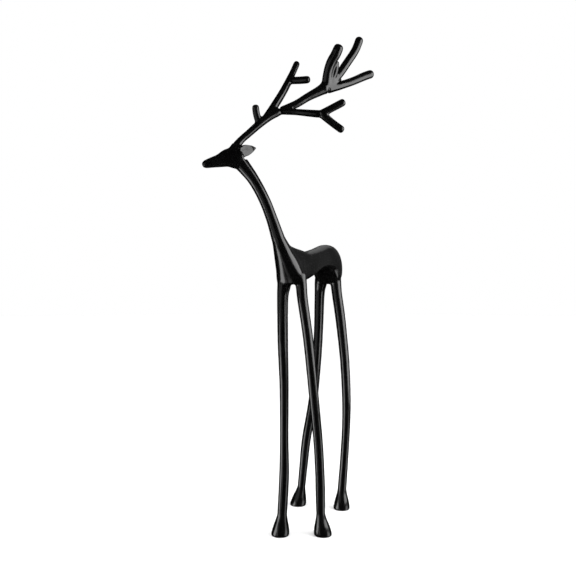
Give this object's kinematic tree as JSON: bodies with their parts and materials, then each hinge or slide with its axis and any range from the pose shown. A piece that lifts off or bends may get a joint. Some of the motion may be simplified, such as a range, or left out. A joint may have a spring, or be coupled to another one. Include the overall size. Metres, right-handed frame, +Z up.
{
  "type": "cast iron stag statue",
  "caption": "Tall, slender cast iron stag standing on long thin legs with flared hooves, its head turned to its right under one branching rack of antlers.",
  "frame": {"origin": "on the ground, under the middle of the stag's outline seen from above", "axes": "+Z up; the body faces -X and its left side is towards -Y; the head is turned towards +Y, the stag's right"},
  "size_m": [0.2164, 0.1656, 0.6001],
  "materials": {
    "black_cast_iron": "smooth casting under black satin enamel"
  },
  "bodies": {
    "root": {"stag": "black_cast_iron"}
  },
  "joints": []
}
